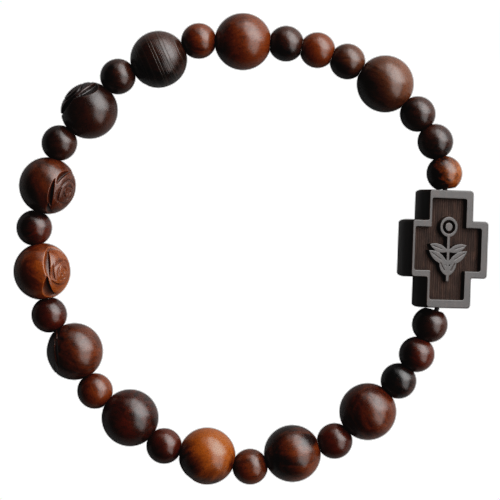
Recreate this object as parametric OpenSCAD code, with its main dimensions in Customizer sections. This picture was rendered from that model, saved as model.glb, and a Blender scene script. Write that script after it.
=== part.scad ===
// Stretch rosary bracelet lying on a table: one decade of polished wooden beads
// and a small wooden cross, threaded on a closed elastic and laid in a loop.
// Millimetres, +Z up, the table at Z = 0 and the middle of the loop over X = Y = 0.

/* [Beads] */
// Diameter of the eleven large beads
large_d = 8; // [7:0.25:11]
// Diameter of the eighteen small beads
small_d = 5; // [4:0.25:6.5]
// Width of the flat turned on each end of a bead, round its hole
end_flat = 2.6; // [2:0.1:3]
// Diameter of the hole through every bead and the cross
hole_d = 1.5; // [1.2:0.1:1.7]
// Clearance between one piece on the string and the next
gap = 0.05; // [0.03:0.01:0.3]

/* [Elastic] */
// Diameter of the elastic
cord_d = 0.7; // [0.4:0.05:0.8]

/* [Cross] */
// Height of the cross, along the string
cross_h = 16.5; // [13:0.5:24]
// Width of the cross over its arms
cross_w = 12; // [10:0.5:16]
// Thickness of the cross
cross_t = 5; // [4:0.25:7]
// Width of the upright
upright_w = 7; // [6:0.2:8]
// Height of the crossbar
crossbar_h = 8; // [7:0.25:10]
// Radius that the outer edges of the cross are rubbed down to
edge_r = 0.4; // [0.2:0.1:0.8]

/* [Sunk field of the cross] */
// Depth of the sunk field
field_depth = 0.7; // [0.3:0.1:0.9]
// Rim left above and below the field
rim_ends = 1.15; // [0.8:0.05:2]
// Rim left along the upright and at the ends of the arms, on average
rim_sides = 0.8; // [0.6:0.05:1]
// Rim left along the top and bottom of the arms
rim_arms = 0.95; // [0.6:0.05:1.3]
// How far the field is set off centre, towards the inside of the loop
field_shift = 0.3; // [0:0.05:0.4]

/* [Raised ornament] */
// Height of the spray of leaves
spray_h = 9; // [7:0.25:11]
// Length of its longest leaves
leaf_l = 3.6; // [2.5:0.1:4]
// Width of a leaf
leaf_w = 1.3; // [0.9:0.1:1.8]
// Width of its stem
stem_w = 0.5; // [0.3:0.05:0.8]
// Diameter of the blossom on top
blossom_d = 2.8; // [2:0.1:3.4]

/* [Carved rose] */
// Diameter of the carved rose on a large bead
rose_d = 6.4; // [5:0.2:6.8]
// Depth of the cut outside each outer petal
petal_depth = 0.7; // [0.4:0.05:0.9]
// Width of that cut at its widest
petal_cut_w = 0.75; // [0.6:0.05:0.9]
// Turn of each petal about its own middle, which tucks one end under the next
petal_tilt = 18; // [12:1:24]

/* [How it lies] */
// Roll of the cross about the string, its outer edge down on the table
cross_roll = 24; // [0:1:40]
// Turn of the cross off the line of the string, seen from above
cross_turn = 3.5; // [-4:0.5:5]
// How far a single small bead is squeezed out past its two large neighbours
squeeze_out = 0.8; // [0:0.1:1.2]

/* [Hidden] */
// Course of the string: distance from the middle as a share of the mean,
// every 30 degrees counter-clockwise from the cross
loop_shape = [0.94, 1.05, 1.035, 1.01, 1.02, 1.02, 1.005, 0.97, 0.995, 1.02, 0.98, 0.96];
// How each rose bead has rolled about the string: 0 faces up, 90 out of the loop
rose_roll = [180, -130, 75, -58, -53, 85, 180, 125, 180, 180];

// Rings of petals, from the outside in: how many, how far their cuts reach from
// the middle and how wide their hollows are, as shares of rose_d, then the width
// and depth of the cuts as shares of petal_cut_w and petal_depth, and the first turn
petal_rings = [
    [5, 0.50, 0.48, 1.0, 1.0, 0],
    [5, 0.34, 0.30, 0.8, 0.8, 62],
    [3, 0.16, 0.16, 0.5, 0.5, 20]
];

// Order of the pieces along the string, counter-clockwise from the cross
three_small = ["small", "small", "small"];
decade = [for (n = [1 : 10]) each n < 10 ? ["rose", "small"] : ["rose"]];
order = concat(["cross"], three_small, ["our_father"], three_small, decade, three_small);
pieces = len(order);

function kind(i) = order[(i + pieces) % pieces];
function is_small(i) = kind(i) == "small";
function is_large(i) = kind(i) == "our_father" || kind(i) == "rose";
function bead_d(i) = is_small(i) ? small_d : large_d;
function rank(i) = len([for (j = [0 : i]) if (order[j] == order[i]) j]);
function two_digits(n) = str(n < 10 ? "0" : "", n);
function numbered(i) = is_small(i) || kind(i) == "rose" ? str("_", two_digits(rank(i))) : "";
function piece_name(i) = str(kind(i), "_bead", numbered(i));

// Half length of a piece along its hole, from the middle to its flat end
function half_length(i) =
    kind(i) == "cross" ? cross_h / 2 : sqrt(pow(bead_d(i), 2) - pow(end_flat, 2)) / 2;

// How far a bead reaches in a direction that leans off its hole by an angle
function lean_reach(i, lean) =
    lean > asin(end_flat / bead_d(i))
        ? bead_d(i) / 2
        : half_length(i) * cos(lean) + end_flat / 2 * sin(lean);

// Heights: large beads lie on the table, the cross on its lower edge, and the
// three small beads on each side of it lead the string from one to the other
cross_rise = (cross_w / 2 - edge_r) * sin(cross_roll)
    + (cross_t / 2 - edge_r) * cos(cross_roll) + edge_r;
function steps_from_cross(i) = min((i + pieces) % pieces, (pieces - i) % pieces);
function height(i) =
    let (n = steps_from_cross(i))
    n == 0 ? cross_rise
    : is_large(i) || n > 3 ? large_d / 2
    : max(small_d / 2, large_d / 2 + (cross_rise - large_d / 2) * pow(cos(22.5 * n), 2));

// Smooth closed curve through the shares in loop_shape
function share(k) = loop_shape[(k + len(loop_shape)) % len(loop_shape)];
function share_at(a) =
    let (t = a * len(loop_shape) / 360,
         k = floor(t),
         f = t - k,
         p = share(k - 1),
         q = share(k),
         r = share(k + 1),
         s = share(k + 2))
    q + f * (r - p + f * (2 * p - 5 * q + 4 * r - s + f * (3 * (q - r) + s - p))) / 2;

// Middle of a piece at polar angle a when the loop has mean radius r
function squeezed(i) = is_small(i) && is_large(i - 1) && is_large(i + 1) ? squeeze_out : 0;
function spot(i, a, r) =
    let (d = r * share_at(a) + squeezed(i))
    [d * cos(a), d * sin(a), height(i)];

// Polar angle of the next piece, a step of length d on from this one
function next_angle(i, a, r, d, b, tries = 5) =
    tries == 0 ? b
    : next_angle(i, a, r, d, a + (b - a) * d / norm(spot(i + 1, b, r) - spot(i, a, r)), tries - 1);

// Polar angles of all pieces and of the first again, with given steps
function angles(r, steps, i = 0, a = 0) =
    i == pieces ? [a]
    : concat([a], angles(r, steps, i + 1, next_angle(i, a, r, steps[i], a + 57.3 * steps[i] / r)));

// Mean radius at which the string of pieces closes on itself
function closed_radius(r, steps, tries = 6) =
    tries == 0 ? r : closed_radius(r * angles(r, steps)[pieces] / 360, steps, tries - 1);

function middles(steps) =
    let (r = closed_radius(29, steps), a = angles(r, steps))
    [for (i = [0 : pieces - 1]) spot(i, a[i], r)];

function unit(v) = v / norm(v);
function between(u, v) = acos(min(1, u * v));
function turned(v, a) = [v.x * cos(a) - v.y * sin(a), v.x * sin(a) + v.y * cos(a), v.z];

// Direction of the hole through each piece, halfway between its two neighbours
function holes(p) =
    [for (i = [0 : pieces - 1])
        let (back = unit(p[i] - p[(i + pieces - 1) % pieces]),
             ahead = unit(p[(i + 1) % pieces] - p[i]),
             along = unit(back + ahead))
        kind(i) == "cross" ? turned(along, cross_turn) : along];

// Steps that leave the gap between each piece and the next as they lean
function leaning_steps(p) =
    let (u = holes(p))
    [for (i = [0 : pieces - 1])
        let (j = (i + 1) % pieces, c = unit(p[j] - p[i]), lean = between(u[i], u[j]))
        kind(i) == "cross" ? (half_length(i) + lean_reach(j, lean) + gap) / (c * u[i])
        : kind(j) == "cross" ? (half_length(j) + lean_reach(i, lean) + gap) / (c * u[j])
        : lean_reach(i, between(u[i], c)) + lean_reach(j, between(u[j], c)) + gap];

straight_steps = [for (i = [0 : pieces - 1]) half_length(i) + half_length((i + 1) % pieces) + gap];
first_middles = middles(straight_steps);
second_middles = middles(leaning_steps(first_middles));
laid_middles = middles(leaning_steps(second_middles));
hole_line = holes(laid_middles);

// The whole is moved so that it lies centred over X = Y = 0
function half_span(i, axis) =
    kind(i) != "cross" ? bead_d(i) / 2
    : axis == 1 ? cross_h / 2
    : (cross_w / 2 - edge_r) * cos(cross_roll) + (cross_t / 2 - edge_r) * sin(cross_roll) + edge_r;
function centre_of(axis) =
    let (low = min([for (i = [0 : pieces - 1]) laid_middles[i][axis] - half_span(i, axis)]),
         high = max([for (i = [0 : pieces - 1]) laid_middles[i][axis] + half_span(i, axis)]))
    (low + high) / 2;
centre = [centre_of(0), centre_of(1), 0];
place = [for (p = laid_middles) p - centre];

// Puts a piece on the string: its hole, along X, takes the line of the string,
// and its Z faces up before it rolls towards the outside of the loop
module on_string(i, roll = 0) {
    u = hole_line[i];
    translate(place[i])
        rotate([0, -asin(u.z), atan2(u.y, u.x)])
            rotate([roll, 0, 0])
                children();
}

// A turned ball with a flat at each end of its hole, which runs along X
module drilled_ball(d) {
    flat_apart = sqrt(pow(d, 2) - pow(end_flat, 2));
    rotate([0, 90, 0])
        rotate_extrude($fn = 96)
            difference() {
                intersection() {
                    circle(d = d, $fn = 96);
                    translate([0, -flat_apart / 2]) square([d, flat_apart]);
                }
                translate([0, -d]) square([hole_d / 2, 2 * d]);
            }
}

module small_bead() {
    color([0.33, 0.13, 0.06]) drilled_ball(small_d);
}

module our_father_bead() {
    color([0.28, 0.11, 0.06]) drilled_ball(large_d);
}

// Moon-shaped cut outside one petal: a hollow scooped by a big ball, in which
// the smaller ball of the petal itself is left standing
module petal_cut(off, turn, hollow_w, cut_w, depth) {
    scoop_r = (pow(hollow_w / 2, 2) + pow(depth, 2)) / (2 * depth);
    rotate([0, off, turn])
        difference() {
            translate([0, 0, large_d / 2 - depth + scoop_r])
                sphere(r = scoop_r, $fn = 96);
            rotate([0, -360 * cut_w / (PI * large_d), petal_tilt])
                translate([0, 0, large_d / 2 - depth])
                    sphere(d = hollow_w, $fn = 72);
        }
}

// Rose carved into the top of a large bead, ring by ring from the outside in
module carved_rose() {
    for (ring = petal_rings) {
        hollow_w = ring[2] * rose_d;
        off = asin(2 * ring[1] * rose_d / large_d) - asin(hollow_w / large_d);
        for (n = [1 : ring[0]])
            petal_cut(off, ring[5] + 360 * n / ring[0], hollow_w, ring[3] * petal_cut_w, ring[4] * petal_depth);
    }
}

module rose_bead() {
    color([0.36, 0.15, 0.08])
        difference() {
            drilled_ball(large_d);
            carved_rose();
        }
}

// Rectangle with its corners rounded in three short steps
module soft_rectangle(w, h, r) {
    corners = [[1, 1], [-1, 1], [-1, -1], [1, -1]];
    polygon([for (c = [0 : 3], s = [0 : 3])
        let (a = 90 * c + 30 * s)
        [corners[c].x * (w / 2 - r) + r * cos(a), corners[c].y * (h / 2 - r) + r * sin(a)]]);
}

// Bar with all its edges rubbed down
module soft_bar(w, h, t, r) {
    intersection() {
        linear_extrude(t + 1, center = true) soft_rectangle(w, h, r);
        rotate([90, 0, 0]) linear_extrude(h + 1, center = true) soft_rectangle(w, t, r);
        rotate([90, 0, 90]) linear_extrude(w + 1, center = true) soft_rectangle(h, t, r);
    }
}

// Leaf from the origin along +X, pointed at both ends
module leaf(l, w) {
    r = (l * l + w * w) / (4 * w);
    translate([l / 2, 0])
        intersection() {
            translate([0, r - w / 2]) circle(r = r, $fn = 96);
            translate([0, w / 2 - r]) circle(r = r, $fn = 96);
        }
}

// Spray of leaves on one stem, with a ringed blossom on top
module leaf_spray() {
    foot = -spray_h / 2;
    head = spray_h / 2 - blossom_d / 2;
    translate([-stem_w / 2, foot]) square([stem_w, head - foot - blossom_d * 0.4]);
    for (side = [-1, 1]) mirror([side < 0 ? 1 : 0, 0]) {
        translate([0, foot + spray_h * 0.08]) rotate(58) leaf(leaf_l * 0.7, leaf_w * 0.8);
        translate([0, foot + spray_h * 0.26]) rotate(32) leaf(leaf_l, leaf_w);
        translate([0, foot + spray_h * 0.46]) rotate(18) leaf(leaf_l * 0.85, leaf_w * 0.85);
    }
    translate([0, head]) {
        difference() {
            circle(d = blossom_d, $fn = 48);
            circle(d = blossom_d * 0.68, $fn = 48);
        }
        circle(d = blossom_d * 0.42, $fn = 36);
    }
}

module cross_bead() {
    color([0.17, 0.12, 0.11])
        rotate(-90)
            difference() {
                union() {
                    soft_bar(upright_w, cross_h, cross_t, edge_r);
                    soft_bar(cross_w, crossbar_h, cross_t, edge_r);
                }
                rotate([90, 0, 0])
                    cylinder(h = cross_h + 2, d = hole_d, center = true, $fn = 48);
                translate([-field_shift, 0, cross_t / 2 - field_depth])
                    linear_extrude(field_depth + 1)
                        difference() {
                            union() {
                                square([upright_w - 2 * rim_sides, cross_h - 2 * rim_ends], center = true);
                                square([cross_w - 2 * rim_sides, crossbar_h - 2 * rim_arms], center = true);
                            }
                            leaf_spray();
                        }
            }
}

// Middle line of the elastic: the middle of each piece, and the point between
// the mouths of its hole and of the next
function mouth(i, side) = place[i] + side * half_length(i) * hole_line[i];
cord_line = [for (i = [0 : pieces - 1])
    each [place[i], (mouth(i, 1) + mouth((i + 1) % pieces, -1)) / 2]];

module elastic_cord() {
    sides = 8;
    n = len(cord_line);
    rings = [for (k = [0 : n - 1])
        let (p = cord_line[k],
             back = unit(p - cord_line[(k + n - 1) % n]),
             ahead = unit(cord_line[(k + 1) % n] - p),
             along = unit(back + ahead),
             out = unit(cross(along, [0, 0, 1])),
             up = cross(out, along))
        for (s = [0 : sides - 1])
            let (a = 360 * (s + 0.5) / sides)
            p + cord_d / 2 * (cos(a) * out + sin(a) * up)];
    skin = [for (k = [0 : n - 1], s = [0 : sides - 1])
        let (a = k * sides,
             b = (k + 1) % n * sides,
             t = (s + 1) % sides)
        each [[a + s, a + t, b + t], [a + s, b + t, b + s]]];
    color([0.08, 0.07, 0.07]) polyhedron(points = rings, faces = skin);
}

module piece(i) {
    if (kind(i) == "cross") on_string(i, cross_roll) cross_bead();
    if (kind(i) == "small") on_string(i) small_bead();
    if (kind(i) == "our_father") on_string(i) our_father_bead();
    if (kind(i) == "rose") on_string(i, rose_roll[rank(i) - 1]) rose_bead();
}

for (i = [0 : pieces - 1]) piece(i);
elastic_cord();
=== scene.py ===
import math

import bmesh
import bpy
import numpy as np
from mathutils import Matrix, Vector


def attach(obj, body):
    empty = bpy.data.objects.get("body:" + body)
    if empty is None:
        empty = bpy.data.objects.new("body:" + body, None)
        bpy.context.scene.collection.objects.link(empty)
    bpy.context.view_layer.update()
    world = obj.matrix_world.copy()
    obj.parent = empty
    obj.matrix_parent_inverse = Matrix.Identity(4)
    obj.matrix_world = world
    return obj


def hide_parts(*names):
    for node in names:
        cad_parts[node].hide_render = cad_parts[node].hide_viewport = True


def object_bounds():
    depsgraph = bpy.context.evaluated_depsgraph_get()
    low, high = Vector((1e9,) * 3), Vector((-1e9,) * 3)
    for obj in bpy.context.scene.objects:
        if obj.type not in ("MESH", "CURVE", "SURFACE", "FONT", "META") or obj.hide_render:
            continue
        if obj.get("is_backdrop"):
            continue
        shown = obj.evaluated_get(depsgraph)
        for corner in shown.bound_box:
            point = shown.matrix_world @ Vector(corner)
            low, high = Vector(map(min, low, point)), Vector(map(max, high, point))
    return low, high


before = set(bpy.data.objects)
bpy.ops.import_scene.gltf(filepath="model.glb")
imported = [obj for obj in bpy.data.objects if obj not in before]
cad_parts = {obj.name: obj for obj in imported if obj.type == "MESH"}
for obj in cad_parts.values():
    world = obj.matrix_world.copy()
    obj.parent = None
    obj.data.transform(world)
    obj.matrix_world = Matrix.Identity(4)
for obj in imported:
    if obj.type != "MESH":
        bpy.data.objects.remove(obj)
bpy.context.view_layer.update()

# The camera looks straight down on the bracelet, close enough that the loop
# nearly fills the frame, with the cross on the right.
MM = 0.001
string_height = 4 * MM
camera_above_string = 400 * MM
camera_off_centre = (-0.02 * MM, -0.17 * MM)
camera_turn = -0.38
frame_width = 70.46 * MM
sensor_width = 36


def put_in_scene(name, data, at=(0, 0, 0)):
    """A new object in the scene, with its middle at a spot."""
    new = bpy.data.objects.new(name, data)
    new.location = at
    bpy.context.scene.collection.objects.link(new)
    return new


camera = put_in_scene(
    "camera", bpy.data.cameras.new("camera"), (*camera_off_centre, string_height + camera_above_string)
)
camera.rotation_euler = (0, 0, math.radians(camera_turn))
camera.data.sensor_width = sensor_width
camera.data.lens = sensor_width * camera_above_string / frame_width
camera.data.clip_start, camera.data.clip_end = 0.01, 20
bpy.context.scene.camera = camera

# The bracelet lies on white card. The camera sees the card as clean white, and a
# dim sheet in the same place is what the beads take shade and reflections from.
card_side = 3.0
card_glow = 1.02
dim_grey = (0.20, 0.20, 0.20, 1)
dim_roughness = 0.45


def node(tree, kind, settings=None, **inputs):
    """A shader node with its settings made and its sockets filled or wired. A socket
    goes by its name, or by n and its number."""
    new = tree.nodes.new("ShaderNode" + kind)
    for label, value in (settings or {}).items():
        setattr(new, label, value)
    for label, value in inputs.items():
        numbered = label[0] == "n" and label[1:].isdigit()
        socket = new.inputs[int(label[1:]) if numbered else label.replace("_", " ")]
        if isinstance(value, bpy.types.NodeSocket):
            tree.links.new(value, socket)
        else:
            socket.default_value = value
    return new


def bare_finish(name):
    """A new material and its empty node tree."""
    finish = bpy.data.materials.new(name)
    finish.use_nodes = True
    finish.node_tree.nodes.clear()
    return finish, finish.node_tree


def card(name, surface, **finish):
    """A flat sheet on the table, with the same surface all over."""
    mesh = bpy.data.meshes.new(name)
    sheet = bmesh.new()
    bmesh.ops.create_grid(sheet, x_segments=8, y_segments=8, size=card_side / 2)
    sheet.to_mesh(mesh)
    sheet.free()
    paper, tree = bare_finish(name)
    shader = node(tree, surface, **finish)
    node(tree, "OutputMaterial", Surface=shader.outputs[0])
    mesh.materials.append(paper)
    laid = put_in_scene(name, mesh)
    laid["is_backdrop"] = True
    return laid


white_card = card("white_card", "Emission", Strength=card_glow)
white_card.visible_diffuse = False
white_card.visible_glossy = False
white_card.visible_shadow = False
dim_card = card("dim_card", "BsdfPrincipled", Base_Color=dim_grey, Roughness=dim_roughness)
dim_card.visible_camera = False

# The light is a tall window at the upper right, a longer and higher one at the
# right, and a pale wall at the back. The tones are a camera's: deep in the shadows.
air_colour, air_strength = (0.9, 0.95, 1.0, 1), 0.012
tones_shown = [
    (0.01, 0.0042), (0.02, 0.0095), (0.04, 0.0235), (0.07, 0.049), (0.11, 0.086),
    (0.20, 0.174), (0.44, 0.41), (0.60, 0.52), (0.80, 0.64), (0.95, 0.80),
]
darkest_shown = 0.002


def window(name, bearing, away, low, high, width, watts):
    """An upright pane of light that faces the bracelet from one side."""
    pane = bpy.data.lights.new(name, "AREA")
    pane.shape = "RECTANGLE"
    pane.size, pane.size_y = width, high - low
    pane.energy = watts
    a = math.radians(bearing)
    light = put_in_scene(name, pane, (away * math.cos(a), away * math.sin(a), (low + high) / 2))
    inwards = Vector((-math.cos(a), -math.sin(a), 0))
    light.rotation_euler = inwards.to_track_quat("-Z", "Y").to_euler()


window("tall_window", bearing=44, away=0.60, low=0.03, high=0.93, width=1.00, watts=20)
window("high_window", bearing=6, away=0.60, low=0.21, high=1.40, width=1.70, watts=32)
window("pale_wall", bearing=88, away=0.60, low=0.03, high=0.45, width=0.45, watts=1.2)

room = bpy.data.worlds.new("room")
room.use_nodes = True
air = room.node_tree.nodes["Background"]
air.inputs["Color"].default_value = air_colour
air.inputs["Strength"].default_value = air_strength
bpy.context.scene.world = room

view = bpy.context.scene.view_settings
view.view_transform = "Standard"
view.use_curve_mapping = True
tone_curve = view.curve_mapping.curves[3]
tone_curve.points[0].location = (0, darkest_shown)
for light, shown in tones_shown:
    tone_curve.points.new(light, shown)
for point in tone_curve.points:
    point.handle_type = "VECTOR"
view.curve_mapping.update()

# The eighteen small beads: balls of 5 mm turned from offcuts of dark and reddish
# hardwoods, drilled through, faced flat where they meet, and polished with wax.
bead_order = ["cross_bead"]
bead_order += [f"small_bead_{n:02}" for n in (1, 2, 3)] + ["our_father_bead"]
bead_order += [f"small_bead_{n:02}" for n in (4, 5, 6)]
for n in range(1, 11):
    bead_order.append(f"rose_bead_{n:02}")
    if n < 10:
        bead_order.append(f"small_bead_{n + 6:02}")
bead_order += [f"small_bead_{n:02}" for n in (16, 17, 18)]

# sizes in millimetres, as are those of all pieces below: hair is the fine gap
# between two beads, and face_break how far a bead's flat stops short of its skin
large_across = 8.0
small_across = 5.0
flat_across = 2.6
hole_across = 1.5
hair = 0.012
face_break = 0.06
narrowest_face = 0.2
# the mouth of a hole in rings: how far outside the hole and how far down each lies
hole_mouth = [(0.12, 0), (0.04, 0.03), (0, 0.12)]


def across(name):
    """Diameter of a bead."""
    return small_across if name.startswith("small") else large_across


def middle_of(name):
    """Middle of a piece on the string: that of the box round the cross's CAD node,
    or of the ball that fits the skin of a bead's."""
    points = np.array([v.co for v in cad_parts[name].data.vertices]) / MM
    middle = (points.min(0) + points.max(0)) / 2
    if name == "cross_bead":
        return Vector(middle)
    for _ in range(4):
        reach = np.linalg.norm(points - middle, axis=1)
        skin = points[abs(reach - across(name) / 2) < 0.1]
        table = np.c_[2 * skin, np.ones(len(skin))]
        middle = np.linalg.lstsq(table, (skin ** 2).sum(1), rcond=None)[0][:3]
    return Vector(middle)


middles = [middle_of(name) for name in bead_order]


def hole_line(name):
    """Direction of the string through a piece, halfway between its neighbours."""
    i = bead_order.index(name)
    back = (middles[i] - middles[i - 1]).normalized()
    ahead = (middles[(i + 1) % len(middles)] - middles[i]).normalized()
    return (back + ahead).normalized()


def on_string(along, roll=0):
    """Turn that lays X along the string with Z up, then rolls Z out of the loop."""
    return (
        Matrix.Rotation(math.atan2(along.y, along.x), 3, "Z")
        @ Matrix.Rotation(-math.asin(along.z), 3, "Y")
        @ Matrix.Rotation(math.radians(roll), 3, "X")
    )


def meeting(name, side):
    """Plane in which a bead meets its neighbour: the way to it and how far off it is.
    Two balls pressed together meet in the plane through the circle they share, and a
    bead beside the cross keeps the flat that was turned on it."""
    i = bead_order.index(name)
    other = (i + side) % len(bead_order)
    if bead_order[other] == "cross_bead":
        return hole_line(name) * side, math.sqrt(across(name) ** 2 - flat_across ** 2) / 2
    apart = middles[other] - middles[i]
    d, r, s = apart.length, across(name) / 2, across(bead_order[other]) / 2
    return apart / d, (d * d + r * r - s * s) / (2 * d) - hair / 2


def mark(mesh, label, values):
    """Gives the points of a mesh a value each, and 0 to those that values leaves over."""
    spread = np.zeros(len(mesh.vertices))
    spread[: len(values)] = values
    mesh.attributes.new(label, "FLOAT", "POINT").data.foreach_set("value", spread)


def turned_bead(name, around, shares, roll=0, carved=None):
    """Bead turned about its hole, with rows at these shares of the way to its ends.
    carved gives, for directions in the bead's own frame, the reach of the wood, how much
    each spot lies on a lighter cut edge (partly wear, partly a painted highlight) and how
    deep it is, which darkens the wood there as painted shade."""
    r = across(name) / 2
    place = np.array(on_string(hole_line(name), roll))
    turn = np.radians(around)
    ends = []
    for side in (1, -1):
        line, far = meeting(name, side)
        line = place.T @ np.array(line)
        tip = line[1] * np.cos(turn) + line[2] * np.sin(turn)
        reach = np.hypot(line[0], tip)
        edge = np.arcsin(far / (r * reach)) - np.arctan2(tip, side * line[0])
        ends.append((line, far, edge))
    shares = np.asarray(shares)[:, None]
    tilt = np.where(shares > 0, shares * ends[0][2], shares * ends[1][2])
    ways = np.stack([np.sin(tilt), np.cos(tilt) * np.cos(turn), np.cos(tilt) * np.sin(turn)], axis=-1)
    if carved:
        reach, worn_and_lit, deep = carved(ways)
    else:
        reach = np.full(ways.shape[:2], r)
        worn_and_lit = deep = np.zeros(ways.shape[:2])
    rows = [ways * reach[..., None]]
    for side, (line, far, edge) in zip((1, -1), ends):
        rim = r * np.cos(edge)
        hole = min(hole_across / 2, rim.min() - narrowest_face)
        mouth = [(rim - face_break, 0)] + [(hole + wider, drop) for wider, drop in hole_mouth]
        rings = []
        for wide, drop in mouth + [(hole, None)]:
            y, z = wide * np.cos(turn), wide * np.sin(turn)
            flat = (far - line[1] * y - line[2] * z) / line[0]
            # the last ring stands in the hole, halfway to the middle of the bead
            x = np.full_like(flat, side * r / 2) if drop is None else flat - side * drop
            rings.append(np.stack([x, y, z], axis=-1)[None])
        rows += rings if side > 0 else rings[::-1]
    points = np.concatenate(rows)
    high, wide = points.shape[:2]
    spots = np.arange(high * wide).reshape(high, wide)
    up, right = np.roll(spots, -1, axis=0), np.roll(spots, -1, axis=1)
    corner = np.roll(up, -1, axis=1)
    faces = np.stack([spots, right, corner, up], axis=-1).reshape(-1, 4)
    mesh = bpy.data.meshes.new(name)
    mesh.from_pydata(points.reshape(-1, 3) @ place.T * MM, [], faces.tolist())
    mark(mesh, "worn_and_lit", worn_and_lit.ravel())
    mark(mesh, "deep", deep.ravel())
    mesh.shade_smooth()
    return put_in_scene("wooden_" + name, mesh, middles[bead_order.index(name)] * MM)


per_mm = (1 / MM, 1 / MM, 1 / MM)
wood_shine = 0.32
dark_at, middle_at, light_at = 0.30, 0.62, 0.95
score_shade = (0.020, 0.014, 0.011)


def stretched(spot, *scale):
    """The same spots, packed closer or further apart along X, Y and Z."""
    return node(spot.id_data, "Mapping", Vector=spot, Scale=scale).outputs[0]


def noise(spot, scale, detail, **kind):
    """Cloudy noise round 0.5. scale is about how many clouds lie on a millimetre."""
    return node(spot.id_data, "TexNoise", Vector=spot, Scale=scale, Detail=detail, **kind).outputs[0]


def weighed(value, weight, rest):
    """A wired value times its weight, plus the rest."""
    times = {"operation": "MULTIPLY_ADD"}
    return node(value.id_data, "Math", times, n0=value, n1=weight, n2=rest).outputs[0]


def covered(under, cover, where, most=1.0):
    """One colour with another over it, as thick as where says and at most so thick."""
    if isinstance(cover, tuple):
        cover = (*cover, 1)
    amount = weighed(where, most, 0.0)
    return node(where.id_data, "Mix", {"data_type": "RGBA"}, n0=amount, n6=under, n7=cover).outputs[2]


def marked(tree, label):
    """What mark has given the points of the mesh."""
    return node(tree, "Attribute", {"attribute_name": label}).outputs["Fac"]


def stops(ramp, *colours):
    """Sets a colour ramp's stops, each (place, (red, green, blue))."""
    while len(ramp.color_ramp.elements) < len(colours):
        ramp.color_ramp.elements.new(0.5)
    for element, (at, colour) in zip(ramp.color_ramp.elements, colours):
        element.position = at
        element.color = (*colour, 1)


def tinted(colour, by):
    """A colour made darker or lighter by a factor."""
    return tuple(c * by for c in colour)


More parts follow.
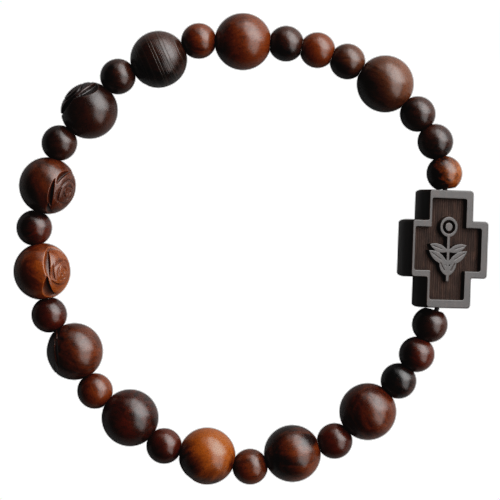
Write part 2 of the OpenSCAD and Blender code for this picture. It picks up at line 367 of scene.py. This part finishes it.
def waxed_wood(name, dark, light, share, side, pull, seed, patches=(), figured=1.0, scored=0):
    """Hand-waxed hardwood. share is how much of it is light, side the bearing of the
    lighter side and pull how plainly it lies there; that lighter side, tipped a little to
    the top, is partly the wood's own lighter part and partly painted light. Each patch has
    a bearing, a way out from the top, a width and how much lighter it is; some are the
    wood's own figure, some painted shade on the side away from the lamps and some painted
    light on the side towards them. figured is how plainly the grain shows and scored how
    deep the lathe's fine rings are, in mm."""
    finish, tree = bare_finish(name)
    spot = node(tree, "TexCoord").outputs["Object"]
    lay = node(
        tree, "Mapping", Vector=spot, Scale=per_mm,
        Rotation=(0.5 * seed, 0.35 * math.sin(seed), 0.9 * seed),
        Location=(3.1 * seed, 1.7 * seed, 5.3 * seed),
    ).outputs[0]
    along = stretched(lay, 0.22, 1, 1)
    figure = noise(along, 0.75, 3.0, Distortion=0.8)
    rings = node(
        tree, "TexWave", {"wave_type": "RINGS", "rings_direction": "X"},
        Vector=along, Scale=0.42, Distortion=5.0, Detail=3.0, Detail_Scale=1.2,
    ).outputs["Fac"]
    fibres = noise(stretched(lay, 0.5, 6, 6), 1.0, 4.0, Roughness=0.6)
    mottle = noise(lay, 3.2, 4.0, Roughness=0.65)
    pinholes = noise(stretched(lay, 2, 6.5, 6.5), 1.0, 1.0)
    pores = node(tree, "MapRange", Value=pinholes, From_Min=0.57, From_Max=0.67).outputs[0]

    # the tone runs from 0, the darkest wood, to 1, and the grain is even about it
    grain = ((figure, 1.2), (rings, 0.12), (fibres, 0.12), (mottle, 0.6))
    tone = share + dark_at - figured * sum(weight for _, weight in grain) / 2
    for pattern, weight in grain:
        tone = weighed(pattern, weight * figured, tone)
    radius = across(name) / 2 * MM
    a = math.radians(side)
    # lighter towards the side's bearing and the top: partly the wood's own tone, partly painted light
    lighter_wood_and_lit_side = node(
        tree, "VectorMath", {"operation": "DOT_PRODUCT"}, n0=spot,
        n1=(math.cos(a) / radius, math.sin(a) / radius, 0.2 / radius),
    ).outputs["Value"]
    tone = weighed(lighter_wood_and_lit_side, pull, tone)
    ragged = 0.5 * radius
    # patches of other tone: some the wood's own figure, some painted shade on the side away from the
    # lamps and some painted light on the side towards them
    for way, out, wide, amount in patches:
        a = math.radians(way)
        centre = Vector((out * math.cos(a), out * math.sin(a), math.sqrt(1 - out * out))) * radius
        gap = node(tree, "VectorMath", {"operation": "DISTANCE"}, n0=spot, n1=centre).outputs["Value"]
        here = node(
            tree, "MapRange", {"interpolation_type": "SMOOTHSTEP"}, Value=weighed(figure, ragged, gap),
            From_Min=0.3 * wide * radius + ragged / 2, From_Max=wide * radius + ragged / 2,
            To_Min=1.0, To_Max=0.0,
        ).outputs[0]
        tone = weighed(here, amount, tone)

    ramp = node(tree, "ValToRGB", Fac=tone)
    middle = tuple(0.55 * d + 0.45 * l for d, l in zip(dark, light))
    stops(ramp, (0.0, tinted(dark, 0.5)), (dark_at, dark), (middle_at, middle), (light_at, light))
    deep, worn_and_lit = marked(tree, "deep"), marked(tree, "worn_and_lit")
    colour = covered(ramp.outputs[0], tinted(dark, 0.3), pores, 0.6 * figured)
    # painted shade: the deeper in a cut, the darker the wood
    colour = covered(colour, tinted(dark, 0.35), deep, 0.90)
    # the edges of the cuts are lighter: partly wear, partly a painted highlight
    colour = covered(colour, tinted(light, 1.35), worn_and_lit, 0.50)
    rough = weighed(deep, 0.08, weighed(fibres, 0.10, weighed(pores, 0.10, 0.22)))
    height = weighed(fibres, 0.5, weighed(pores, -0.7, weighed(mottle, 0.3, 0.0)))
    relief = node(tree, "Bump", Strength=0.12, Distance=0.02 * MM, Height=height).outputs[0]
    if scored:
        place = node(tree, "VectorMath", {"operation": "DOT_PRODUCT"}, n0=spot, n1=hole_line(name) / MM)
        lines = node(
            tree, "TexNoise", {"noise_dimensions": "1D"}, W=place.outputs["Value"], Scale=3.0, Detail=1.0
        ).outputs[0]
        scores = node(tree, "MapRange", Value=lines, From_Min=0.50, From_Max=0.62).outputs[0]
        relief = node(
            tree, "Bump", Strength=0.8, Distance=scored * MM, Height=scores, Normal=relief
        ).outputs[0]
        colour = covered(colour, score_shade, scores, 0.5)
    wood = node(
        tree, "BsdfPrincipled", Base_Color=colour, Roughness=rough, Normal=relief,
        IOR=1.5, Specular_IOR_Level=wood_shine,
    )
    node(tree, "OutputMaterial", Surface=wood.outputs[0])
    return finish


black = (0.0018, 0.0010, 0.0008)
umber = (0.0065, 0.0017, 0.0009)
chestnut = (0.018, 0.0030, 0.0008)
walnut = (0.022, 0.0062, 0.0028)
russet = (0.037, 0.0058, 0.0012)
orange = (0.070, 0.0150, 0.0030)
amber = (0.140, 0.0350, 0.0045)
hazel = (0.060, 0.0200, 0.0085)

# each bead's darker and lighter wood, its share of the lighter one, and the side on which
# that lies and how plainly, the lighter side being partly the wood's and partly painted light
small_woods = {
    1: (umber, amber, 0.12, 9, 0.47),
    2: (black, walnut, 0.40, 108, 0.25),
    3: (black, walnut, 0.26, 60, 0.25),
    4: (umber, hazel, 0.18, 38, 0.36),
    5: (chestnut, orange, 0.74, -20, 0.10),
    6: (black, walnut, 0.28, 36, 0.50),
    7: (chestnut, orange, 0.41, 30, 0.55),
    8: (black, walnut, 0.30, 10, 0.45),
    9: (umber, walnut, 0.20, -10, 0.58),
    10: (umber, russet, 0.15, -51, 0.55),
    11: (chestnut, russet, 0.18, -95, 0.50),
    12: (chestnut, orange, 0.48, -30, 0.35),
    13: (chestnut, russet, 0.22, 48, 0.50),
    14: (walnut, orange, 0.35, -48, 0.19),
    15: (chestnut, russet, 0.38, -179, 0.35),
    16: (black, walnut, 0.02, -30, 0.45),
    17: (umber, russet, 0.27, -8, 0.55),
    18: (umber, walnut, 0.20, -15, 0.62),
}
# the small beads whose wood has a patch of another tone and less grain: the patch lies towards the lamps
# and is partly the wood's own, partly painted light
small_marks = {4: {"patches": [(40, 1.0, 0.50, 0.60)], "figured": 0.5}}

small_turn = np.arange(0, 360, 3.75)
small_rows = np.linspace(-0.995, 0.995, 49)
for n, tones in small_woods.items():
    name = f"small_bead_{n:02}"
    small_bead = turned_bead(name, small_turn, small_rows)
    small_bead.data.materials.append(waxed_wood(name, *tones, n, **small_marks.get(n, {})))
    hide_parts(name)
    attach(small_bead, "root")

# The plain large bead that parts the three small beads by the cross from the
# decade: an 8 mm ball of the same woods, turned, drilled and waxed like them.
large_turn = np.arange(0, 360, 2.5)
large_rows = np.linspace(-0.995, 0.995, 71)
our_father_bead = turned_bead("our_father_bead", large_turn, large_rows)
# its darker left and lighter upper right are partly the wood's own tones, partly painted shade and a
# painted sheen
our_father_bead.data.materials.append(
    waxed_wood(
        "our_father_bead", umber, hazel, share=0.32, side=32, pull=0.38, seed=34,
        patches=[(180, 0.75, 0.95, -0.12), (45, 1.0, 0.55, 0.20)], figured=0.55,
    )
)
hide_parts("our_father_bead")
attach(our_father_bead, "root")

# The ten beads of the decade: 8 mm balls with an open rose carved into one side.
# A gouge takes a moon-shaped cut outside each petal, ring by ring inwards, steep
# at the petal's edge and running out to the skin. The beads have rolled every way.
rose_cuts = [
    # bearing, distance of the wall, half length, width, depth (mm), swing, bend
    (0, 2.58, 2.30, 1.05, 0.50, 31, 0.00),
    (98, 2.85, 2.35, 1.45, 0.66, -16, 0.07),
    (170, 2.50, 1.85, 0.80, 0.50, 12, 0.03),
    (247, 2.66, 2.15, 0.75, 0.60, 0, 0.01),
    (308, 3.65, 1.80, 0.75, 0.45, -10, 0.10),
    (32, 1.55, 1.40, 1.15, 0.42, 12, 0.12),
    (104, 1.62, 1.50, 1.20, 0.42, 14, 0.12),
    (176, 1.50, 1.40, 1.05, 0.38, 8, 0.12),
    (248, 1.60, 1.45, 1.10, 0.42, -12, 0.12),
    (320, 1.50, 1.40, 1.05, 0.38, 10, 0.12),
    (10, 0.72, 0.95, 0.78, 0.36, 14, 0.20),
    (130, 0.76, 0.90, 0.80, 0.36, 10, 0.20),
    (250, 0.70, 0.95, 0.74, 0.34, 16, 0.20),
    (60, 0.22, 0.42, 0.34, 0.26, 20, 0.30),
    (240, 0.22, 0.42, 0.34, 0.26, 20, 0.30),
]
# each bead's roll about the string, its rose's lean along it and turn, and how
# deep it is cut
rose_lies = [
    (180, 0, 0, 1), (-128, 0, 20, 1), (78, -8, 30, 1), (-58, 2, 40, 1), (-53, 11, -132, 1),
    (78, -25, -157, 0.3), (180, 0, 0, 1), (116, -25, 60, 1), (180, 0, 0, 1), (180, 0, 0, 1),
]
# the middle of the flower is pared down a little before it is cut
pared_reach, pared_slope, pared_depth = 3.0, 1.2, 0.10
# the steep wall's share of a cut, how wide its lighter edges are (partly wear, partly a
# painted highlight), and how far apart and how deep the gouge's marks are
wall_share, worn_and_lit_width = 0.14, 0.09
gouge_pitch, gouge_mark = 0.30, 0.018
# beyond the outer ring and within the heart a cut is a smooth ledge
outer_ring, heart = 2, 0.5
# the depth at which the painted shade in a cut is at its darkest
darkest_depth = 0.5


def turned_about(axis, degrees):
    """Turn about one axis."""
    return np.array(Matrix.Rotation(math.radians(degrees), 3, axis))


def carved_rose(lean, turn, cut):
    """Reach of the wood, the lighter edges of the cuts (partly wear, partly a painted highlight) and the
    depth of the cuts, which darkens them as painted shade, for a rose round Z.
    """
    r = large_across / 2

    def carve(ways):
        ways = ways @ turned_about("Y", lean)
        from_rose = r * np.arccos(np.clip(ways[..., 2], -1, 1))
        drop = pared_depth * np.clip((pared_reach - from_rose) / pared_slope, 0, 1)
        worn_and_lit = np.zeros(drop.shape)
        for bearing, out, half, width, depth, swing, bend in rose_cuts:
            lie = turned_about("Z", turn + bearing)
            lie = lie @ turned_about("Y", math.degrees(out / r)) @ turned_about("Z", swing)
            outward, along, middle = ways @ lie[:, 0], ways @ lie[:, 1], ways @ lie[:, 2]
            x, y = r * np.arcsin(np.clip(along, -1, 1)), r * np.arcsin(np.clip(outward, -1, 1))
            full = np.clip(1 - (x / half) ** 2, 0, 1) * (middle > 0.3)
            wide = width * full ** 0.7 * (1 + 0.25 * x / half) + 1e-6
            share = (y + bend * x ** 2) / wide
            inside = (share > 0) & (share < 1)
            share = np.clip(share, 0, 1)
            steep = np.clip(share / wall_share, 0, 1) ** 2
            ledge = out > outer_ring or out < heart
            scooped = 1 - share ** 3.0 if ledge else (1 - share) ** 1.4
            chatter = gouge_mark * np.sin(2 * math.pi * y / gouge_pitch) * np.clip(share * 5, 0, 1)
            here = cut * (depth * np.sqrt(full) * steep * scooped + chatter * full * (not ledge))
            drop = np.maximum(drop, np.where(inside, here, 0))
            # each cut's two edges are lighter: partly wear, partly a painted highlight
            for edge in (0, 1):
                near = np.exp(-((((y + bend * x ** 2) / wide - edge) * wide / worn_and_lit_width) ** 2))
                worn_and_lit = np.maximum(worn_and_lit, cut * near * np.sqrt(full) * (0.9 if ledge else 0.6))
        worn_and_lit = worn_and_lit * np.clip(1 - 2 * drop / darkest_depth, 0, 1)
        return r - drop, worn_and_lit, np.clip(drop / darkest_depth, 0, 1)

    return carve


# as for the small beads: darker and lighter wood, share of the lighter one, its side and how plainly,
# that side partly painted light
rose_woods = {
    1: (chestnut, orange, 0.43, -17, 0.42),
    2: (black, walnut, 0.23, 72, 0.38),
    3: (umber, walnut, 0.24, -85, 0.50),
    4: (walnut, orange, 0.09, 0, 0.20),
    5: (orange, amber, 0.06, -34, 0.40),
    6: (umber, orange, 0.18, 5, 0.24),
    7: (umber, russet, 0.22, 172, 0.10),
    8: (chestnut, amber, 0.58, 110, 0.36),
    9: (umber, orange, 0.24, -46, 0.30),
    10: (chestnut, orange, 0.17, -43, 0.28),
}
# the patches in their wood (some the wood's own figure, some painted shade on the side away from the
# lamps and some painted light on the side towards them), how plain its grain is, and rings left by the
# lathe
rose_marks = {
    1: {"patches": [(-35, 0.50, 0.45, 0.20), (60, 0.90, 0.40, 0.15)]},
    2: {"scored": 0.025},
    4: {"patches": [(215, 0.75, 0.60, -0.20)]},
    5: {"patches": [(225, 0.75, 0.75, -0.45), (0, 0.85, 0.80, -0.22)]},
    6: {"figured": 0.7},
    7: {"patches": [(240, 0.40, 0.60, 0.30)]},
    8: {
        "patches": [(188, 0.95, 1.15, -0.65), (270, 0.95, 0.60, -0.20), (345, 0.95, 0.40, -0.20)],
        "figured": 0.6,
    },
    9: {
        "patches": [
            (105, 0.35, 0.60, 0.22), (40, 0.72, 0.50, -0.28),
            (235, 0.60, 0.90, -0.22), (315, 0.95, 0.40, 0.30),
        ],
        "figured": 0.75,
    },
    10: {"patches": [(250, 0.70, 0.60, -0.20)]},
}
# the points lie five times as close on the side with the rose as on the plain one
petal_turn = np.r_[np.arange(18, 162, 1.0), np.arange(162, 378, 5.0)]
rose_rows = np.linspace(-0.996, 0.996, 151)
rose_seed = 40
for n, tones in rose_woods.items():
    name = f"rose_bead_{n:02}"
    roll, *rose = rose_lies[n - 1]
    rose_bead = turned_bead(name, petal_turn, rose_rows, roll, carved_rose(*rose))
    rose_bead.data.materials.append(waxed_wood(name, *tones, rose_seed + n, **rose_marks.get(n, {})))
    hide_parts(name)
    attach(rose_bead, "root")

# The cross is cut from one block of near-black wood. Its edges are rubbed round,
# its face is sunk by a cutter that leaves a rim and a spray of leaves standing,
# and the sunk ground keeps the cutter's fine upright lines.
cross_height, cross_width, cross_thick = 16.5, 12.0, 5.0
upright_width, crossbar_height = 7.0, 8.0
cross_turn, cross_roll = 3.5, 24
outer_corner, inner_corner = 0.5, 0.2
face_edge, back_edge, back_rise = 0.16, 0.40, 1.8
ground_depth = 0.70
ground_shift = -0.3
ground_upright = (5.4, 14.2)
ground_arms = (10.4, 6.1)
ground_corner, ground_fillet = 0.3, 0.12
wall_width = 0.08
wall_top_drop, wall_top_width = 0.03, 0.05
cutter_pitch, cutter_groove, cutter_run_in = 0.34, 0.05, 0.1
face_step = cutter_pitch / 6
crease_angle = 40


def off_block(x, y, width, height, corner):
    """Distance outside a block with rounded corners."""
    u = np.abs(x) - width / 2 + corner
    v = np.abs(y) - height / 2 + corner
    return np.hypot(np.maximum(u, 0), np.maximum(v, 0)) + np.minimum(np.maximum(u, v), 0) - corner


def joined(a, b, fillet):
    """Distance outside two blocks joined with a small fillet."""
    return np.maximum(fillet, np.minimum(a, b)) - np.hypot(
        np.maximum(fillet - a, 0), np.maximum(fillet - b, 0)
    )


def off_cross(x, y):
    """Distance outside the cross."""
    return joined(
        off_block(x, y, upright_width, cross_height, outer_corner),
        off_block(x, y, cross_width, crossbar_height, outer_corner),
        inner_corner,
    )


spray_height, stem_width, stem_corner = 9.0, 0.5, 0.05
# the blossom's width, and as shares of it where its ring, its eye and the stem end
blossom, blossom_ring, blossom_eye, stem_end = 2.8, 0.34, 0.21, 0.4
# the leaves in pairs: share of the way up the stem, lean, length and width
leaves = [(0.08, 58, 2.52, 1.04), (0.26, 32, 3.6, 1.3), (0.46, 18, 3.06, 1.1)]
# each leaf has a vein, between two shares of its length
vein_foot, vein_tip = 0.35, 0.86
vein_width, vein_depth = 0.09, 0.07


def along_leaf(x, y, rise, lean, side):
    """Leaf's own coordinates: along it and across it."""
    a = math.radians(lean)
    x, y = side * x, y + spray_height / 2 - rise * spray_height
    return x * math.cos(a) + y * math.sin(a), y * math.cos(a) - x * math.sin(a)


def off_spray(x, y):
    """Distance outside the spray of leaves and its ringed blossom."""
    foot, head = -spray_height / 2, spray_height / 2 - blossom / 2
    top = head - blossom * stem_end
    gap = off_block(x, y - (foot + top) / 2, stem_width, top - foot, stem_corner)
    for rise, lean, length, width in leaves:
        bow = (length ** 2 + width ** 2) / (4 * width)
        for side in (-1, 1):
            u, v = along_leaf(x, y, rise, lean, side)
            u = u - length / 2
            lens = np.maximum(np.hypot(u, v - bow + width / 2), np.hypot(u, v + bow - width / 2))
            gap = np.minimum(gap, lens - bow)
    ring = np.hypot(x, y - head)
    gap = np.minimum(gap, np.maximum(ring - blossom / 2, blossom * blossom_ring - ring))
    return np.minimum(gap, ring - blossom * blossom_eye)


def in_ground(x, y):
    """Distance inside the sunk ground, measured from its nearest wall."""
    x = x - ground_shift
    field = joined(
        off_block(x, y, *ground_upright, ground_corner),
        off_block(x, y, *ground_arms, ground_corner),
        ground_fillet,
    )
    return np.minimum(-field, off_spray(x, y))


def veins(x, y):
    """How near a spot is to the middle vein of a leaf, from 0 to 1."""
    near = np.zeros_like(x)
    for rise, lean, length, width in leaves:
        for side in (-1, 1):
            u, v = along_leaf(x - ground_shift, y, rise, lean, side)
            here = (u > vein_foot * length) & (u < vein_tip * length)
            near = np.maximum(near, np.where(here, np.clip(1 - np.abs(v) / vein_width, 0, 1), 0))
    return near


def pulled_to(f, level, x, y, near):
    """Moves the points that lie near a contour of f on to it, and tells which did."""
    e = 1e-4
    close = np.abs(f(x, y) - level) < near
    for _ in range(2):
        rise = f(x, y) - level
        dx = (f(x + e, y) - f(x - e, y)) / (2 * e)
        dy = (f(x, y + e) - f(x, y - e)) / (2 * e)
        steep = np.maximum(dx * dx + dy * dy, 0.2)
        x = np.where(close, x - rise * dx / steep, x)
        y = np.where(close, y - rise * dy / steep, y)
    return x, y, close


def carved_face():
    """Points and faces of the cross's carved front, inside its rounded edge, and how
    far each point is sunk, from 0 to 1."""
    half_x = math.ceil(cross_width / 2 / face_step)
    half_y = math.ceil(cross_height / 2 / face_step)
    x, y = np.meshgrid(
        np.arange(-half_x, half_x + 1) * face_step, np.arange(-half_y, half_y + 1) * face_step
    )
    x, y, rim = pulled_to(off_cross, -face_edge, x, y, 0.5 * face_step)
    for level in (0.0, wall_width):
        u, v, wall = pulled_to(in_ground, level, x, y, 0.5 * min(face_step, wall_width))
        x, y = np.where(wall & ~rim, u, x), np.where(wall & ~rim, v, y)
        rim = rim | wall
    kept = off_cross(x, y) <= -face_edge + 0.2 * face_step
    g = in_ground(x, y)
    wall_top = wall_top_drop * np.clip(1 + g / wall_top_width, 0, 1)
    wall = (ground_depth - wall_top_drop) * np.clip(g / wall_width, 0, 1)
    ribs = 0.5 - 0.5 * np.cos(2 * math.pi * x / cutter_pitch)
    lines = cutter_groove * ribs * np.clip((g - wall_width) / cutter_run_in, 0, 1)
    vein = vein_depth * veins(x, y) * (g < -wall_top_width)
    z = cross_thick / 2 - wall_top - wall - lines - vein
    number = -np.ones(x.shape, int)
    number[kept] = np.arange(kept.sum())
    points = np.stack([x[kept], y[kept], z[kept]], axis=-1)
    sunk = np.clip(g[kept] / wall_width, 0, 1)
    a, b = number[:-1, :-1], number[:-1, 1:]
    c, d = number[1:, 1:], number[1:, :-1]
    faces = []
    for square in np.stack([a, b, c, d], axis=-1).reshape(-1, 4).tolist():
        corners = [k for k in square if k >= 0]
        if len(corners) > 2:
            faces.append(corners)
    return points, faces, sunk


corner_steps = 8
outline_step = 0.3


def cross_outline():
    """Points round the cross, counter-clockwise, and the way out of it at each."""
    w, h = cross_width / 2, cross_height / 2
    u, v = upright_width / 2, crossbar_height / 2
    turns = [
        (w, -v, 1), (w, v, 1), (u, v, -1), (u, h, 1), (-u, h, 1), (-u, v, -1),
        (-w, v, 1), (-w, -v, 1), (-u, -v, -1), (-u, -h, 1), (u, -h, 1), (u, -v, -1),
    ]
    points, outs = [], []
    for i, (x, y, bend) in enumerate(turns):
        before, after = turns[i - 1], turns[(i + 1) % len(turns)]
        back = Vector((before[0] - x, before[1] - y)).normalized()
        on = Vector((after[0] - x, after[1] - y)).normalized()
        size = outer_corner if bend > 0 else inner_corner
        hub = Vector((x, y)) + (back + on) * size
        start, end = hub - on * size, hub - back * size
        for k in range(corner_steps + 1):
            t = k / corner_steps * math.pi / 2
            away = (start - hub) * math.cos(t) + (end - hub) * math.sin(t)
            points.append(hub + away)
            outs.append(away.normalized() * bend)
        reach = Vector(after[:2]) - Vector((x, y))
        size_next = outer_corner if after[2] > 0 else inner_corner
        length = reach.length - size - size_next
        steps = max(1, round(length / outline_step))
        straight_out = Vector((on.y, -on.x))
        for k in range(1, steps):
            points.append(end + on * length * k / steps)
            outs.append(straight_out)
    return np.array(points), np.array(outs)


def rim_of(faces):
    """The open edge of a patch as one closed run of points, counter-clockwise."""
    edges = set()
    for face in faces:
        for a, b in zip(face, face[1:] + face[:1]):
            if (b, a) in edges:
                edges.discard((b, a))
            else:
                edges.add((a, b))
    onward = dict(edges)
    first = min(onward)
    run = [first]
    while onward[run[-1]] != first:
        run.append(onward[run[-1]])
    return run


def zipped(inner, outer, points):
    """Faces that close the seam between two runs of points on the same line."""
    start = points[inner[0]]
    k = int(np.argmin(np.linalg.norm(points[outer] - start, axis=1)))
    outer = outer[k:] + outer[:k]

    def shares(run):
        ring = points[run + run[:1]]
        steps = np.linalg.norm(np.diff(ring, axis=0), axis=1)
        return np.r_[0, np.cumsum(steps)] / steps.sum()

    a, b = shares(inner), shares(outer)
    i = j = 0
    faces = []
    while i < len(inner) or j < len(outer):
        here, there = inner[i % len(inner)], outer[j % len(outer)]
        if j == len(outer) or (i < len(inner) and a[i + 1] <= b[j + 1]):
            faces.append([there, inner[(i + 1) % len(inner)], here])
            i += 1
        else:
            faces.append([there, outer[(j + 1) % len(outer)], here])
            j += 1
    return faces


# the flank in levels, from the soft back edge up to the face: how far in from the
# outline and how high each lies, and how much more or less than the face it shines
back_steps, front_steps = 12, 5
flank_rows = (-0.2, 0.4, 1.2, 1.9)
flank_heights, flank_shine = [-2.3, 0.0, 1.9], [0.5, -0.2, -0.27]
levels = []
for k in range(back_steps + 1):
    a = math.pi / 2 * k / back_steps
    levels.append((back_edge * (1 - math.sin(a)), -cross_thick / 2 + back_rise * (1 - math.cos(a))))
levels += [(0, z) for z in flank_rows]
for k in range(front_steps + 1):
    a = math.pi / 2 * k / front_steps
    levels.append((face_edge * (1 - math.cos(a)), cross_thick / 2 - face_edge * (1 - math.sin(a))))

face_points, face_faces, sunk = carved_face()
outline, outs = cross_outline()
count = len(outline)
loops = [np.c_[outline - inset * outs, np.full(count, z)] for inset, z in levels]
cross_points = np.concatenate([face_points] + loops)
cross_faces = list(face_faces)
first_loop = len(face_points)
for k in range(len(levels) - 1):
    low, high = first_loop + k * count, first_loop + (k + 1) * count
    for i in range(count):
        j = (i + 1) % count
        cross_faces.append([low + i, low + j, high + j, high + i])
cross_faces.append([first_loop + i for i in reversed(range(count))])
top_loop = list(range(first_loop + (len(levels) - 1) * count, first_loop + len(levels) * count))
cross_faces += zipped(rim_of(face_faces), top_loop, cross_points)
rubbed = np.zeros(len(cross_points))
for k, (inset, z) in enumerate(levels[:-front_steps]):
    start = first_loop + k * count
    rubbed[start : start + count] = np.interp(z, flank_heights, flank_shine)


def cross_line():
    """The cross hangs a little askew on the string."""
    return Matrix.Rotation(math.radians(cross_turn), 3, "Z") @ hole_line("cross_bead")


upright_along_string = Matrix.Rotation(math.radians(-90), 3, "Z")
cross_lie = np.array(on_string(cross_line(), cross_roll) @ upright_along_string)
cross_mesh = bpy.data.meshes.new("cross_bead")
cross_mesh.from_pydata(cross_points @ cross_lie.T * MM, [], cross_faces)
mark(cross_mesh, "sunk", sunk)
mark(cross_mesh, "rubbed", rubbed)
cross_bead = put_in_scene("carved_cross_bead", cross_mesh, middles[0] * MM)

drill = bmesh.new()
bmesh.ops.create_cone(
    drill, cap_ends=True, segments=48, radius1=hole_across / 2 * MM, radius2=hole_across / 2 * MM,
    depth=(cross_height + 2) * MM,
    matrix=Matrix(cross_lie.tolist()).to_4x4() @ Matrix.Rotation(math.pi / 2, 4, "X"),
)
drill_mesh = bpy.data.meshes.new("drill")
drill.to_mesh(drill_mesh)
drill.free()
drill_bit = put_in_scene("drill", drill_mesh, cross_bead.location)
drilling = cross_bead.modifiers.new("drilled", "BOOLEAN")
drilling.object, drilling.operation, drilling.solver = drill_bit, "DIFFERENCE", "EXACT"
bpy.context.view_layer.update()
drilled = bpy.data.meshes.new_from_object(cross_bead.evaluated_get(bpy.context.evaluated_depsgraph_get()))
cross_bead.modifiers.clear()
cross_bead.data = drilled
bpy.data.objects.remove(drill_bit)
drilled.shade_smooth()
drilled.set_sharp_from_angle(angle=math.radians(crease_angle))

polished_tones = (
    (0.2, (0.004, 0.003, 0.003)), (0.5, (0.010, 0.007, 0.006)), (0.8, (0.024, 0.013, 0.010)),
)
ground_tones = (
    (0.2, (0.005, 0.003, 0.002)), (0.5, (0.014, 0.008, 0.006)), (0.8, (0.034, 0.019, 0.014)),
)


def cross_wood():
    """Near-black wood: polished on the rim and leaves, dull and browner in the ground."""
    finish, tree = bare_finish("cross_wood")
    spot = node(tree, "TexCoord").outputs["Object"]
    lay = node(tree, "Mapping", Vector=spot, Scale=per_mm, Rotation=(0, 0, 0.05)).outputs[0]
    fibres = noise(stretched(lay, 3.5, 0.35, 3.5), 1.0, 5.0, Roughness=0.6)
    mottle = noise(lay, 0.7, 4.0, Roughness=0.6)
    polished = node(tree, "ValToRGB", Fac=weighed(fibres, 0.7, weighed(mottle, 0.5, -0.1)))
    stops(polished, *polished_tones)
    ground = node(tree, "ValToRGB", Fac=weighed(fibres, 0.9, weighed(mottle, 0.4, -0.15)))
    stops(ground, *ground_tones)
    sunken, rubbed = marked(tree, "sunk"), marked(tree, "rubbed")
    colour = covered(polished.outputs[0], ground.outputs[0], sunken)
    rough = weighed(sunken, 0.45, weighed(fibres, 0.12, 0.26))
    shine = weighed(sunken, -0.20, weighed(rubbed, 1.0, wood_shine))
    relief = node(tree, "Bump", Strength=0.3, Distance=0.02 * MM, Height=fibres).outputs[0]
    wood = node(
        tree, "BsdfPrincipled", Base_Color=colour, Roughness=rough, Normal=relief,
        IOR=1.5, Specular_IOR_Level=shine,
    )
    node(tree, "OutputMaterial", Surface=wood.outputs[0])
    return finish


drilled.materials.clear()
drilled.materials.append(cross_wood())
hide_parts("cross_bead")
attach(cross_bead, "root")

# The elastic runs through every piece in one closed round and hardly shows: a
# thin braided cover over rubber, stretched through the holes from mouth to mouth.
elastic_across = 0.7
braid_ribs, braid_twist, rib_depth = 6, 2.4, 0.05
rings_between = 6
sides = 24

mouths = []
for name, middle in zip(bead_order, middles):
    if name == "cross_bead":
        through, half = cross_line(), cross_height / 2
    else:
        through, half = hole_line(name), math.sqrt(across(name) ** 2 - flat_across ** 2) / 2
    mouths.append((middle - through * half, middle + through * half))
run = []
for i, middle in enumerate(middles):
    run.append(middle)
    run.append((mouths[i][1] + mouths[(i + 1) % len(middles)][0]) / 2)

elastic_points = []
ring_number = 0
for i, here in enumerate(run):
    there = run[(i + 1) % len(run)]
    way_in = (there - run[i - 1]).normalized()
    way_out = (run[(i + 2) % len(run)] - here).normalized()
    for k in range(rings_between):
        t = k / rings_between
        spot = here.lerp(there, t)
        ahead = way_in.lerp(way_out, t).normalized()
        aside = ahead.cross(Vector((0, 0, 1))).normalized()
        up = aside.cross(ahead)
        for s in range(sides):
            a = 2 * math.pi * s / sides
            rib = 1 - rib_depth * (1 + math.sin(braid_ribs * a + braid_twist * ring_number)) / 2
            out = aside * math.cos(a) + up * math.sin(a)
            elastic_points.append(spot + out * rib * elastic_across / 2)
        ring_number += 1
elastic_faces = []
for k in range(ring_number):
    for s in range(sides):
        here, there = k * sides, (k + 1) % ring_number * sides
        t = (s + 1) % sides
        elastic_faces.append([here + s, here + t, there + t, there + s])
elastic_mesh = bpy.data.meshes.new("elastic")
elastic_mesh.from_pydata([p * MM for p in elastic_points], [], elastic_faces)
elastic_mesh.shade_smooth()
elastic = put_in_scene("braided_elastic", elastic_mesh)

thread_tones = ((0.35, (0.006, 0.005, 0.005)), (0.65, (0.030, 0.024, 0.022)))


def elastic_braid():
    """A dull dark cover braided of fine threads."""
    finish, tree = bare_finish("elastic_braid")
    spot = node(tree, "TexCoord").outputs["Object"]
    threads = noise(stretched(spot, *per_mm), 9.0, 3.0)
    ramp = node(tree, "ValToRGB", Fac=threads)
    stops(ramp, *thread_tones)
    relief = node(tree, "Bump", Strength=0.4, Distance=0.03 * MM, Height=threads).outputs[0]
    rough = node(tree, "MapRange", Value=threads, To_Min=0.6, To_Max=0.85).outputs[0]
    cover = node(tree, "BsdfPrincipled", Base_Color=ramp.outputs[0], Roughness=rough, Normal=relief)
    node(tree, "OutputMaterial", Surface=cover.outputs[0])
    return finish


elastic_mesh.materials.append(elastic_braid())
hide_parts("elastic_cord")
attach(elastic, "root")

# The box round the pieces shown, without the card.
low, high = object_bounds()
